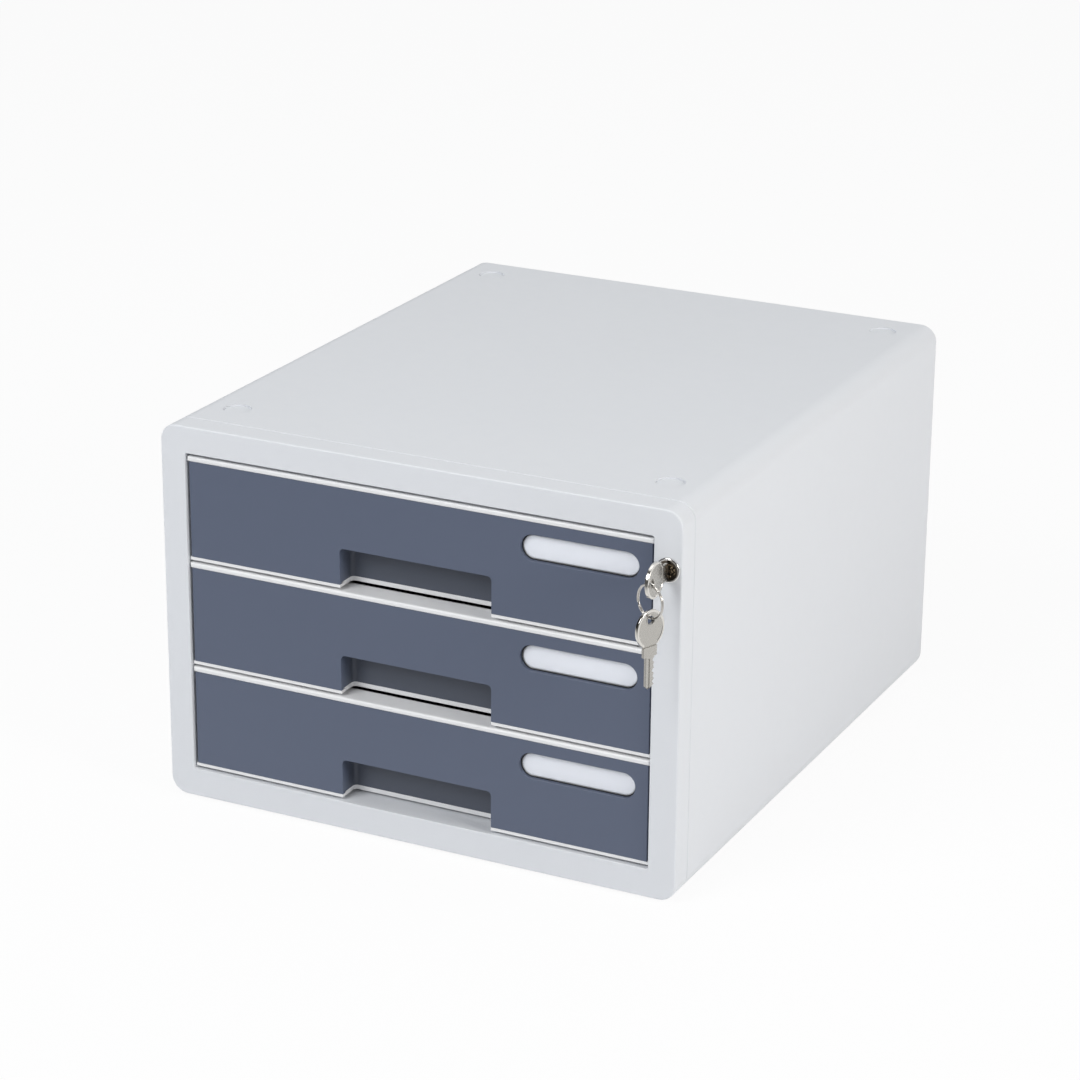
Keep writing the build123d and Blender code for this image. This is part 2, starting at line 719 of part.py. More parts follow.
def lock_bar():
    """The upright bar: a head with the pin's slot, and a tab in front of each drawer's catch."""
    pin_z = lock_z + pin_rise
    rear = bar_front + bar_plate
    bar = slab(bar_left, bar_left + bar_width, bar_front, rear, bar_low, pin_z)
    bar += slab(bar_head_left, bar_head_left + bar_head_width, bar_front, rear,
                pin_z - bar_head_half, pin_z + bar_head_half)
    for number in range(1, drawers + 1):
        low = drawer_low(number) + tab_low
        bar += slab(opening_right - tab_side_gap, bar_left + 1, bar_front, rear,
                    low, low + tab_height)
    slot_left = lock_x - pin_throw - pin_radius - slot_side_gap
    slot_right = lock_x + pin_side + pin_radius + slot_side_gap
    slot_half = pin_radius + slot_side_gap
    bar -= slab(slot_left, slot_right, bar_front - 1, rear + 1, pin_z - slot_half, pin_z + slot_half)
    return bar


def lock_bar_guides():
    """Two saddles that hold the bar to the right side frame."""
    saddles = []
    for z in guide_heights:
        block = slab(bar_left - guide_gap - guide_wall, bar_left + bar_width + guide_gap + guide_wall,
                     bar_front - guide_gap - guide_wall, frame_front - layer_gap,
                     z - guide_half, z + guide_half)
        block -= slab(bar_left - guide_gap, bar_left + bar_width + guide_gap,
                      bar_front - guide_gap, bar_front + bar_plate + guide_gap,
                      z - guide_half - 1, z + guide_half + 1)
        saddles.append(block)
    return Compound(children=saddles)


# ------------------------------------------------------------------ keys and ring
def key_blank():
    """A flat key in its own plane: bow round the origin, blade towards +x."""
    bow = SlotOverall(2 * bow_half_length, 2 * bow_half_width)
    shoulder_end = bow_half_length + shoulder_length
    shoulder = Pos(shoulder_end / 2, 0) * Rectangle(shoulder_end, shoulder_width)
    outline = bow + shoulder - Pos(-bow_hole_offset, 0) * Circle(bow_hole_radius)
    body = Pos(0, 0, -key_plate / 2) * extrude(outline, amount=key_plate)
    half = blade_width / 2
    end = shoulder_end + blade_length
    points = [(shoulder_end - 1, -half), (end - tip_taper, -half), (end, -half + tip_taper),
              (end, half - 2 * tip_taper), (end - tip_taper, half - cut_depths[-1])]
    for number in reversed(range(len(cut_depths))):
        x = shoulder_end + 2.2 + cut_pitch * number
        points += [(x + cut_half, half - cut_depths[number] * 0.5),
                   (x, half - cut_depths[number]),
                   (x - cut_half, half - cut_depths[number] * 0.5)]
    points += [(shoulder_end - 1, half)]
    blade = extrude(make_face(Polyline(*points, close=True)), amount=blade_plate)
    blade = Pos(0, 0, -blade_plate / 2) * blade
    flute_start = shoulder_end + flute_gap
    for face in (-1, 1):
        blade -= Pos((flute_start + end + 1) / 2, flute_offset, face * blade_plate / 2) * Box(
            end + 1 - flute_start, flute_width, 2 * flute_depth)
    return body + blade


def key():
    """The key in the lock, upright, its blade along y."""
    place = Plane(origin=(lock_x, bow_y, lock_z), x_dir=(0, 1, 0), z_dir=(1, 0, 0))
    return place * key_blank()


def key_ring():
    """The ring, upright, through the hole in the bow."""
    angle = math.radians(ring_turn)
    place = Plane(origin=(lock_x, hole_y, ring_z), x_dir=(0, 0, 1),
                  z_dir=(math.sin(angle), -math.cos(angle), 0))
    return place * Torus(ring_radius, ring_wire)


def spare_key():
    """The second key, hanging square to the ring with its blade down."""
    angle = math.radians(ring_turn + 90)
    place = Plane(origin=(lock_x, hole_y, spare_bow_z), x_dir=(0, 0, -1),
                  z_dir=(math.sin(angle), -math.cos(angle), 0))
    return place * key_blank()


# ------------------------------------------------------------------ every node
os.makedirs("parts", exist_ok=True)
save("housing_shell", housing_shell())
save("front_bezel", front_bezel())
save("rear_panel", rear_panel())
save("side_frame_left", side_frame(-1))
save("side_frame_right", side_frame(1))
save("front_screws", front_screws())
save("rear_screws", rear_screws())
for row, foot_y in (("front", foot_front_y), ("rear", foot_rear_y)):
    save(f"foot_{row}_left", foot(-foot_x, foot_y))
    save(f"foot_{row}_right", foot(foot_x, foot_y))
for drawer in range(1, drawers + 1):
    save(f"drawer_{drawer}_tray", drawer_tray(drawer))
    save(f"drawer_{drawer}_face", face_panel(drawer))
    save(f"drawer_{drawer}_label_window", label_window(drawer))
    save(f"drawer_{drawer}_label_card", label_card(drawer))
    save(f"drawer_{drawer}_catch", drawer_catch(drawer))
save("lock_cylinder", lock_cylinder())
save("lock_clip", lock_clip())
save("lock_plug", lock_plug())
save("lock_wafers", lock_wafers())
save("lock_cam", lock_cam())
save("cam_screw", cam_screw())
save("lock_bar", lock_bar())
save("lock_bar_guides", lock_bar_guides())
save("key", key())
save("key_ring", key_ring())
save("spare_key", spare_key())

print(f"drawer travel {travel:.1f}, lock bar travel {bar_travel:.3f}")
print(f"front face y {-origin_y:.2f}, lock axis z {lock_z + foot_height:.2f}")
print(f"ring hangs at y {hole_y - origin_y:.2f}, z {ring_top + foot_height:.2f}, "
      f"spare at z {ring_z - ring_radius + foot_height:.2f}")
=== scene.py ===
# %% [markdown]
# # A desktop cabinet with three drawers
#
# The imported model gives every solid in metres, at rest, with its joints. This notebook keeps
# those solids in place, gives each its finish, and adds the pieces that a drawing leaves plain:
# the split ring, the stamped keys, the screws' drives and the marks that moulding leaves.

# %% Load the frame
import json
import math

import bpy
import numpy as np
from mathutils import Matrix, Vector


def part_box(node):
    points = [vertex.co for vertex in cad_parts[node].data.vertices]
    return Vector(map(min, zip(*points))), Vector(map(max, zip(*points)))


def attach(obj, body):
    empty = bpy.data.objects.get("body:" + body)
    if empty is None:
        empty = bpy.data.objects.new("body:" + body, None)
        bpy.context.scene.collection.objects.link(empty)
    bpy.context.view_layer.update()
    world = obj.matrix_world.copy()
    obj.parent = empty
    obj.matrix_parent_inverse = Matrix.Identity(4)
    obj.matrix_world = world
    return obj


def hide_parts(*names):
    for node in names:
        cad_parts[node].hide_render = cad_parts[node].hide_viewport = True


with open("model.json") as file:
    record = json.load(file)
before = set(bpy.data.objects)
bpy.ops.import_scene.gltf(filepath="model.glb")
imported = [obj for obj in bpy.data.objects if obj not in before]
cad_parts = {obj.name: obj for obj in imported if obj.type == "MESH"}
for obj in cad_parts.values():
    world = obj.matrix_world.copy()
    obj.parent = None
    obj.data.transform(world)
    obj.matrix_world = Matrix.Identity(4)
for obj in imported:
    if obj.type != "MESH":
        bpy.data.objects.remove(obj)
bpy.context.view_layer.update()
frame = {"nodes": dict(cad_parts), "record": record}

nodes = frame["nodes"]

# %% [markdown]
# ## Places worked out from the frame
#
# Later pieces sit on the solids. Their places could be typed in once more from the drawing, but
# then a change of size would leave them behind, so they are read from the solids' boxes. The
# lock's axis is the middle of the cylinder's box, and the front face is where the bezel begins.

# %% Places
MM = 0.001


def corners_of(node):
    """The low and high corners of a node's box, in metres."""
    return [np.array(corner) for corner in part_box(node)]


bezel_low, _ = corners_of("front_bezel")
lock_low, lock_high = corners_of("lock_cylinder")
front_y = bezel_low[1]
lock_x = (lock_low[0] + lock_high[0]) / 2
lock_z = (lock_low[2] + lock_high[2]) / 2
print("front", round(front_y, 4), "lock axis", round(lock_x, 4), round(lock_z, 4))

# %% [markdown]
# ## Camera
#
# The cabinet is seen from its right front corner and a little above, with a long lens, so that
# its upright edges stay nearly parallel. A camera without perspective would make them quite
# parallel, but then the far end would look too large. The camera could be aimed by a constraint.
# Here its three axes are worked out from two angles and a small roll, which keeps them exact.

# %% Camera
azimuth = math.radians(26.38)
elevation = math.radians(20.354)
roll = math.radians(0.433)
camera_place = Vector((0.8058, -1.6655, 0.8036))

back = Vector((math.sin(azimuth) * math.cos(elevation),
               -math.cos(azimuth) * math.cos(elevation),
               math.sin(elevation)))
level_right = Vector((0, 0, 1)).cross(back).normalized()
level_up = back.cross(level_right)
right = math.cos(roll) * level_right + math.sin(roll) * level_up
up = -math.sin(roll) * level_right + math.cos(roll) * level_up

camera_data = bpy.data.cameras.new("camera")
camera_data.sensor_width = 36.0
camera_data.lens = 111.753
camera = bpy.data.objects.new("camera", camera_data)
bpy.context.scene.collection.objects.link(camera)
turn = Matrix((right, up, back)).transposed().to_4x4()
camera.matrix_world = Matrix.Translation(camera_place) @ turn
bpy.context.scene.camera = camera
bpy.context.scene.view_settings.view_transform = "Standard"
print("camera", [round(v, 3) for v in camera_place], "lens", camera_data.lens)

# %% [markdown]
# ## Nodes for a finish
#
# Every finish is a Principled shader with fine relief. The relief could be an image laid on the
# piece, but noise on Object coordinates needs no unwrapping, has no seams and keeps still on the
# piece. Beneath it a Bevel node rounds the shading of edges by about a tenth of a millimetre, as
# no moulded or plated edge is quite sharp.

# %% Helpers for node trees
def new_finish(name):
    """A material, its node tree and its Principled shader."""
    material = bpy.data.materials.new(name)
    material.use_nodes = True
    tree = material.node_tree
    return material, tree, tree.nodes["Principled BSDF"]


def noise(tree, scale, detail=2.0, roughness=0.5):
    """Noise on Object coordinates. scale counts features to the metre."""
    coordinates = tree.nodes.new("ShaderNodeTexCoord")
    texture = tree.nodes.new("ShaderNodeTexNoise")
    texture.inputs["Scale"].default_value = scale
    texture.inputs["Detail"].default_value = detail
    texture.inputs["Roughness"].default_value = roughness
    tree.links.new(coordinates.outputs["Object"], texture.inputs["Vector"])
    return texture.outputs["Fac"]


def components(tree, vector):
    """The x, y and z sockets of a vector socket."""
    split = tree.nodes.new("ShaderNodeSeparateXYZ")
    tree.links.new(vector, split.inputs[0])
    return split.outputs


def places(tree):
    """The x, y and z of Object coordinates, in metres."""
    return components(tree, tree.nodes.new("ShaderNodeTexCoord").outputs["Object"])


def ramp(tree, value, low, high, from_low=0.3, from_high=0.7):
    """The value carried from one range to another, and held at its ends."""
    node = tree.nodes.new("ShaderNodeMapRange")
    node.inputs["From Min"].default_value = from_low
    node.inputs["From Max"].default_value = from_high
    node.inputs["To Min"].default_value = low
    node.inputs["To Max"].default_value = high
    tree.links.new(value, node.inputs["Value"])
    return node.outputs["Result"]


def tint(tree, value, dark, light):
    """A colour between dark and light, by the value."""
    node = tree.nodes.new("ShaderNodeMix")
    node.data_type = "RGBA"
    node.inputs[6].default_value = (*dark, 1)
    node.inputs[7].default_value = (*light, 1)
    tree.links.new(value, node.inputs[0])
    return node.outputs[2]


def math_node(tree, operation, first, second=None):
    """One arithmetic step. first and second are sockets or plain numbers."""
    node = tree.nodes.new("ShaderNodeMath")
    node.operation = operation
    for place, value in enumerate((first, second)):
        if value is None:
            continue
        if isinstance(value, (int, float)):
            node.inputs[place].default_value = value
        else:
            tree.links.new(value, node.inputs[place])
    return node.outputs[0]


def length(tree, first, second):
    """The root of the sum of the squares of two sockets."""
    squares = [math_node(tree, "MULTIPLY", side, side) for side in (first, second)]
    return math_node(tree, "SQRT", math_node(tree, "ADD", *squares))


def relief(tree, height, distance, strength, edge):
    """A bump from a height, over a normal that is rounded at edges by the radius edge."""
    bump = tree.nodes.new("ShaderNodeBump")
    bump.inputs["Strength"].default_value = strength
    bump.inputs["Distance"].default_value = distance
    tree.links.new(height, bump.inputs["Height"])
    if edge > 0:
        rounded = tree.nodes.new("ShaderNodeBevel")
        rounded.samples = 4
        rounded.inputs["Radius"].default_value = edge
        tree.links.new(rounded.outputs["Normal"], bump.inputs["Normal"])
    return bump.outputs["Normal"]


# %% [markdown]
# ## Moulded plastic
#
# The housing, trays and panels are injection moulded. The mould is spark-eroded, which leaves a
# fine even grain. Here the grain is two octaves of noise at about a third of a millimetre, and
# a slow noise shifts the colour by about one part in a hundred, as the melt's flow does.
#
# Where ejector pins pushed a tray out of its mould, they leave shallow round marks. They could be
# modelled, but they are thinner than a hair, so they are rings in the relief, drawn from the distance
# to the nearest point of a grid, and only on faces that look up or down. The panels' finger pockets
# look darker than their fronts, so their finish carries a painted shade that deepens with depth.

# %% Plastic finish
FLOW_SCALE, FLOW_DRIFT = 9.0, 0.012      # clouds of colour to the metre, and their strength
PATCH_SCALE, PATCH_DRIFT = 140.0, 0.03   # patches of gloss to the metre, and their strength
GRAIN_DEPTH = 0.03 * MM
PLASTIC_EDGE = 0.12 * MM
PIN_LINE = 0.2 * MM                      # half width of an ejector mark's line


def pin_marks(tree, pitch, radius):
    """1 on a thin ring of this radius round each point of a square grid, on level faces, else 0.

    The distance to the nearest grid point is the root of dx squared plus dy squared, where dx
    and dy are the coordinates folded into half a pitch on each side.
    """
    place = places(tree)
    folded = [math_node(tree, "PINGPONG", place[axis], pitch / 2) for axis in (0, 1)]
    distance = length(tree, *folded)
    off = math_node(tree, "ABSOLUTE", math_node(tree, "SUBTRACT", distance, radius))
    ring = ramp(tree, off, 1.0, 0.0, 0.0, PIN_LINE)
    face = tree.nodes.new("ShaderNodeNewGeometry")
    upright = components(tree, face.outputs["True Normal"])[2]
    level = ramp(tree, math_node(tree, "ABSOLUTE", upright), 0.0, 1.0, 0.95, 0.99)
    return math_node(tree, "MULTIPLY", ring, level)


def plastic(name, colour, gloss, grain=2600.0, strength=0.35, shine=0.5, marks=None):
    """Moulded plastic: colour in linear light, gloss as roughness, grain in features a metre."""
    material, tree, shader = new_finish(name)
    dark = [c * (1 - FLOW_DRIFT) for c in colour]
    light = [min(c * (1 + FLOW_DRIFT), 1.0) for c in colour]
    tree.links.new(tint(tree, noise(tree, FLOW_SCALE), dark, light), shader.inputs["Base Color"])
    height = noise(tree, grain, 2.0, 0.6)
    if marks:
        height = math_node(tree, "SUBTRACT", height, pin_marks(tree, *marks))
    tree.links.new(relief(tree, height, GRAIN_DEPTH, strength, PLASTIC_EDGE),
                   shader.inputs["Normal"])
    patchy = ramp(tree, noise(tree, PATCH_SCALE, 3.0), gloss - PATCH_DRIFT, gloss + PATCH_DRIFT)
    tree.links.new(patchy, shader.inputs["Roughness"])
    shader.inputs["Specular IOR Level"].default_value = shine
    return material


def paint_pocket_shade(material, front, floor, shade):
    """Multiply a finish's colour by a painted shade: not at all at the front, and fully at the floor.

    The share grows in a straight line with the y coordinate from front to floor, in metres.
    """
    tree = material.node_tree
    shader = tree.nodes["Principled BSDF"]
    colour = shader.inputs["Base Color"].links[0].from_socket
    node = tree.nodes.new("ShaderNodeMix")
    node.data_type = "RGBA"
    node.blend_type = "MULTIPLY"
    node.inputs[7].default_value = (*shade, 1)
    tree.links.new(ramp(tree, places(tree)[1], 0.0, 1.0, front, floor), node.inputs[0])
    tree.links.new(colour, node.inputs[6])
    tree.links.new(node.outputs[2], shader.inputs["Base Color"])


# %% Five plastics
PIN_PITCH, PIN_RADIUS = 64 * MM, 4 * MM
PANEL_SKIN = 0.5 * MM                    # the panel's front keeps its full colour to this depth
POCKET_FLOOR = 4 * MM                    # before the panel's rear, the shade is full

housing_finish = plastic("housing plastic", (0.70, 0.72, 0.752), 0.44)
tray_finish = plastic("tray plastic", (0.80, 0.805, 0.815), 0.34, grain=1500, strength=0.12,
                      marks=(PIN_PITCH, PIN_RADIUS))
panel_finish = plastic("panel plastic", (0.101, 0.122, 0.178), 0.42, shine=0.35)
panel_low, panel_high = corners_of("drawer_1_face")
# A painted shade darkens the panel's finish with depth into the finger pocket.
paint_pocket_shade(panel_finish, panel_low[1] + PANEL_SKIN, panel_high[1] - POCKET_FLOOR,
              (0.84, 0.79, 0.70))
# The inner parts are charcoal, a painted shade that keeps the gaps between the drawers dark.
inner_finish = plastic("inner plastic", (0.045, 0.048, 0.055), 0.5, grain=1500, strength=0.2)
rubber_finish = plastic("foot rubber", (0.022, 0.022, 0.024), 0.8, grain=900, strength=0.5)
print("plastics", [m.name for m in (housing_finish, tray_finish, panel_finish, inner_finish,
                                    rubber_finish)])

# %% [markdown]
# ## Metals
#
# Chrome and nickel are the same shader with a different tone and polish. The keys are tumbled in
# stone, so their faces are matt with fine dents, while their rolled rims, the ring and the lock stay
# bright. The plug is dark by a painted dark reflection, with painted glints in spots. The lock's
# flange has a dark dish within a bright rim, and the dish's dark is a painted dark reflection. Dark
# and bright could be two materials on two sets of faces, but a tone that depends on the place gives a
# soft border between them.

# %% Metal finish
METAL_EDGE = 0.1 * MM
CLOUD_SCALE, CLOUD_SHARE = 700.0, 0.90   # clouds of colour to the metre, and their darkest share
STAIN_SCALE = 900.0                      # patches of gloss to the metre
STAIN_SMOOTHER, STAIN_ROUGHER = 0.04, 0.05
GLINT_SCALE, GLINT_EDGE = 900.0, (0.50, 0.60)    # spots to the metre, and the noise at their edge
# The plug's dark tone is a painted dark reflection, and its tan spots are painted glints.
PLUG_PAINTED_DARK, PLUG_PAINTED_GLINT = (0.03, 0.024, 0.018), (0.80, 0.62, 0.42)
# The dish's dark chrome tone is a painted dark reflection.
CHROME, DISH_PAINTED_DARK = (0.80, 0.79, 0.78), (0.10, 0.085, 0.07)
DISH_RADII = 5.4 * MM, 5.9 * MM          # dark within the first, and bright from the second


def metal(name, colour, gloss, scratch=0.15, grain=5200.0, depth=0.01 * MM, tone=None):
    """Plated or bare metal with fine marks.

    tone takes the tree and returns a colour socket. Without it the colour is cloudy, down to
    its darkest share.
    """
    material, tree, shader = new_finish(name)
    shader.inputs["Metallic"].default_value = 1.0
    dark = [c * CLOUD_SHARE for c in colour]
    clouds = tone(tree) if tone else tint(tree, noise(tree, CLOUD_SCALE, 3.0), dark, colour)
    tree.links.new(clouds, shader.inputs["Base Color"])
    fine = noise(tree, grain, 3.0, 0.7)
    tree.links.new(relief(tree, fine, depth, scratch, METAL_EDGE), shader.inputs["Normal"])
    patchy = ramp(tree, noise(tree, STAIN_SCALE, 3.0), gloss - STAIN_SMOOTHER,
                  gloss + STAIN_ROUGHER)
    tree.links.new(patchy, shader.inputs["Roughness"])
    return material


def painted_reflection_and_glints(tree):
    """A painted dark reflection with painted glints, where a noise of about a millimetre passes its
    middle.
    """
    return tint(tree, ramp(tree, noise(tree, GLINT_SCALE), 0.0, 1.0, *GLINT_EDGE), PLUG_PAINTED_DARK, PLUG_PAINTED_GLINT)


def painted_dark_dish(tree):
    """Chrome with a painted dark reflection in the dish, by the distance from the lock's axis.

    The distance is the root of x squared plus z squared, measured from the axis. Behind the
    front face the chrome is bright everywhere.
    """
    x, y, z = places(tree)
    distance = length(tree, math_node(tree, "SUBTRACT", x, float(lock_x)),
                      math_node(tree, "SUBTRACT", z, float(lock_z)))
    behind_front = ramp(tree, y, 0.0, 1.0, float(front_y), float(front_y) + 0.1 * MM)
    rim = ramp(tree, distance, 0.0, 1.0, *DISH_RADII)
    return tint(tree, math_node(tree, "MAXIMUM", rim, behind_front), DISH_PAINTED_DARK, CHROME)


# %% Eight metals
chrome_finish = metal("lock chrome", CHROME, 0.10, 0.05)
# The lock face's dark dish is a painted dark reflection, and the plug's tones are a painted dark
# reflection with painted glints.
dish_finish = metal("lock face", CHROME, 0.10, 0.05, tone=painted_dark_dish)
plug_finish = metal("plug metal", CHROME, 0.16, 1.0, 1100.0, 0.3 * MM, tone=painted_reflection_and_glints)
nickel_finish = metal("key nickel", (0.50, 0.485, 0.455), 0.27, 0.8, 2800.0, 0.05 * MM)
rim_finish = metal("key rim", (0.74, 0.72, 0.68), 0.15, 0.1)
ring_finish = metal("ring nickel", (0.66, 0.64, 0.61), 0.14, 0.1)
steel_finish = metal("plated steel", (0.58, 0.59, 0.60), 0.32, 0.3)
brass_finish = metal("wafer brass", (0.72, 0.53, 0.24), 0.3, 0.2)
print("metals", [m.name for m in (chrome_finish, dish_finish, plug_finish, nickel_finish,
                                  rim_finish, ring_finish, steel_finish, brass_finish)])

# %% [markdown]
# ## Card and clear window
#
# The label is plain paper card, matt, with a fibre that shows only close up. The window in front
# of it is clear moulded plastic. It could be drawn as glass that bends light, but it is thin and
# flat, so a nearly transparent skin that mirrors a little looks the same and renders cleaner.

# %% Card and window
def card(name):
    """Paper card: matt, with a faint fibre."""
    material, tree, shader = new_finish(name)
    fibre = noise(tree, 1400.0, 4.0, 0.7)
    tree.links.new(tint(tree, fibre, (0.815, 0.84, 0.895), (0.85, 0.875, 0.93)),
                   shader.inputs["Base Color"])
    shader.inputs["Roughness"].default_value = 0.85
    tree.links.new(relief(tree, fibre, 0.02 * MM, 0.2, 0.0), shader.inputs["Normal"])
    return material


def clear(name):
    """Clear moulded plastic, thin enough to be drawn as see-through."""
    material, tree, shader = new_finish(name)
    shader.inputs["Base Color"].default_value = (0.92, 0.94, 0.97, 1)
    shader.inputs["Alpha"].default_value = 0.10
    shader.inputs["IOR"].default_value = 1.49
    ripple = noise(tree, 60.0)
    tree.links.new(relief(tree, ripple, 0.2 * MM, 0.05, 0.0), shader.inputs["Normal"])
    tree.links.new(ramp(tree, ripple, 0.05, 0.09), shader.inputs["Roughness"])
    return material


card_finish = card("label card")
clear_finish = clear("window plastic")
print("label", card_finish.name, "window", clear_finish.name)

# %% [markdown]
# ## Give each solid its finish
#
# Finishes could be given by hand, one solid at a time. The record names a slot for each solid, so one
# loop gives each slot its finish and no solid is forgotten. Two solids differ from their slot: the
# rear panel is moulded in the housing's plastic, and the plug's finish has a painted dark reflection
# with painted glints.

# %% Finishes by slot
finishes = {
    "housing_plastic": housing_finish, "inner_plastic": inner_finish, "steel": steel_finish,
    "rubber": rubber_finish, "chrome": chrome_finish, "brass": brass_finish,
    "tray_plastic": tray_finish, "face_plastic": panel_finish, "clear_plastic": clear_finish,
    "card": card_finish, "key_metal": nickel_finish,
}
own_finish = {"rear_panel": housing_finish, "lock_plug": plug_finish}
for part in frame["record"]["subparts"]:
    solid = nodes[part["node"]]
    solid.data.materials.clear()
    solid.data.materials.append(own_finish.get(part["node"], finishes[part["material_slot"]]))

# %% [markdown]
# ## Surfaces from numbers
#
# A new piece could be modelled by hand, or by modifiers on simple shapes. As a formula it stays
# exact and follows the frame's sizes. Each is a grid of points: one direction runs along the
# piece and the other round it. The faces join each point to its neighbours, and wrap round where
# the surface closes. One helper turns points and faces into a mesh, checks from its volume that
# the faces look outwards, and sets it on the body that it moves with.

# %% Grid and mesh helpers
def grid_faces(rows, columns, wrap_rows=False, first=0):
    """Corner numbers of the quads between neighbours of a grid, which wraps along its rows.

    Point number i times columns plus j lies in row i and column j. first is the grid's first
    point number.
    """
    row = np.arange(rows if wrap_rows else rows - 1)
    i, j = np.meshgrid(row, np.arange(columns), indexing="ij")
    next_i, next_j = (i + 1) % rows, (j + 1) % columns
    corners = [i * columns + j, i * columns + next_j, next_i * columns + next_j,
               next_i * columns + j]
    return np.stack(corners, -1).reshape(-1, 4) + first


def cap_faces(ring_start, columns, pole):
    """Triangles from each pair of neighbours on a closed ring of points to one pole."""
    j = np.arange(columns)
    return np.stack([ring_start + j, ring_start + (j + 1) % columns, np.full(columns, pole)], -1)


def tube_faces(rows, columns, first=0):
    """Quads of a tube, and a cap at each end whose pole is one of the two points after it."""
    count = rows * columns
    return [grid_faces(rows, columns, first=first),
            cap_faces(first, columns, first + count)[:, ::-1],
            cap_faces(first + count - columns, columns, first + count + 1)]


def with_poles(tube):
    """A tube's points in one list, followed by the middles of its first and last rings."""
    return np.concatenate([tube.reshape(-1, 3), tube[:1].mean(1), tube[-1:].mean(1)])


def volume(points, face_sets):
    """Signed volume: a sixth of the sum of a dot b cross c over fan triangles from the origin."""
    total = 0.0
    for faces in face_sets:
        for corners in ([0, 1, 2], [0, 2, 3])[: faces.shape[1] - 2]:
            a, b, c = (points[faces[:, k]] for k in corners)
            total += float(np.einsum("ij,ij->i", a, np.cross(b, c)).sum()) / 6
    return total


def facing_out(points, face_sets):
    """The faces, turned over where the volume within them comes out negative."""
    if volume(points, face_sets) < 0:
        return [faces[:, ::-1] for faces in face_sets]
    return face_sets


def oval(around, power):
    """Cosine and sine round a circle, each to the power with its sign: nearer a square, if low."""
    u = np.linspace(0, 2 * math.pi, around, endpoint=False)
    return [np.sign(wave) * np.abs(wave) ** power for wave in (np.cos(u), np.sin(u))]


def add_piece(name, points, face_sets, finish, body, sharp=32.0, second=None):
    """A mesh object from points in metres and arrays of faces, riding on a body.

    Edges sharper than sharp degrees stay sharp. second is a finish and an array that is 1 on
    each face which has it.
    """
    points = np.asarray(points, float).reshape(-1, 3)
    face_sets = facing_out(points, face_sets)
    mesh = bpy.data.meshes.new(name)
    mesh.from_pydata(points.tolist(), [], [f for faces in face_sets for f in faces.tolist()])
    mesh.shade_smooth()
    mesh.set_sharp_from_angle(angle=math.radians(sharp))
    mesh.materials.append(finish)
    if second:
        mesh.materials.append(second[0])
        mesh.polygons.foreach_set("material_index", second[1].astype(np.int32))
    piece = bpy.data.objects.new(name, mesh)
    bpy.context.scene.collection.objects.link(piece)
    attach(piece, body)
    print(name, "points", len(points), "volume mm3", round(volume(points, face_sets) * 1e9, 1))
    return piece


# %% [markdown]
# ## The split ring
#
# A split ring is two turns of flattened spring wire pressed side by side. The centre line is
# a circle whose offset along the ring's axis changes from one side to the other over a short
# crank, where the wire's two ends also lie. A curve with a round bevel could stand for the wire,
# but its section would be a circle and its ends flat. A grid takes any section, so round the
# line goes one between an ellipse and a rectangle, and each end is closed by a small dome.

# %% Split ring
RING_TURN = math.radians(-21.5)          # how far the ring's plane is turned from the front's
RING_MARGIN = 0.9 * MM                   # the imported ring's outside to the new centre line
WIRE_HALF_WIDE, WIRE_HALF_THICK = 0.52 * MM, 0.30 * MM
HALF_PITCH = 0.34 * MM                   # centre line's offset to each side
WIRE_START = math.radians(205)
WIRE_SHORT = 0.10                        # the wire stops this angle short of two turns
CRANK_BEFORE, CRANK_ANGLE = 0.22, 0.34   # where the crank starts before one turn, and its angle
DOME_LENGTH = 0.3 * MM

ring_low, ring_high = corners_of("key_ring")
ring_middle = (ring_low + ring_high) / 2
ring_radius = (ring_high[2] - ring_low[2]) / 2 - RING_MARGIN
ring_axis = np.array([math.sin(RING_TURN), -math.cos(RING_TURN), 0.0])
ring_side = np.array([math.cos(RING_TURN), math.sin(RING_TURN), 0.0])


def split_ring(steps=220, around=20):
    """Points of a two-turn coil.

    Angle t runs through two turns. The centre line is radius times (cos t, sin t), offset along
    the axis by the half pitch times a smooth step that passes from -1 to 1 over the crank. The
    section is a power curve: cos and sin of the angle, each to the power one half with its sign,
    times the half width and half thickness. At each end it shrinks as a circle's chord.
    """
    t = np.linspace(0, 4 * math.pi - WIRE_SHORT, steps)
    crank = np.clip((t - (2 * math.pi - CRANK_BEFORE)) / CRANK_ANGLE, 0, 1)
    offset = HALF_PITCH * (2 * crank**2 * (3 - 2 * crank) - 1)
    angle = t + WIRE_START
    outward = np.cos(angle)[:, None] * ring_side + np.sin(angle)[:, None] * np.array([0, 0, 1.0])
    line = ring_middle + ring_radius * outward + offset[:, None] * ring_axis
    near_end = np.clip(np.minimum(t, t[-1] - t) * ring_radius / DOME_LENGTH, 0, 1)
    shrink = np.sqrt(np.clip(1 - (1 - near_end) ** 2, 0.002, 1))[:, None, None]
    wide, thick = oval(around, 0.5)
    across = WIRE_HALF_WIDE * wide[None, :, None] * outward[:, None]
    along = WIRE_HALF_THICK * thick[None, :, None] * ring_axis
    return line[:, None] + shrink * (across + along)


coil = split_ring()
ring_piece = add_piece("split_ring", with_poles(coil), tube_faces(*coil.shape[:2]),
                       ring_finish, "ring", sharp=60)
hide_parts("key_ring")

# %% [markdown]
# ## The keys
#
# A cabinet key is blanked from flat nickel silver. Its round bow keeps the full thickness, with
# a rolled edge and a shallow coined field, and the shank is pressed a little thinner, with a
# narrow groove where the press stopped at the bow's foot. The blade has a groove in each face
# and five cuts.
#
# A flat outline with thickness and a bevel would have no rolled rim and no coined field. So the
# bow is a closed band of rings: out over the front, round the edge, back and through the hole.
# The shank is a loft of sections from inside the bow to the tip. Both keys use the same surface,
# laid in two planes.

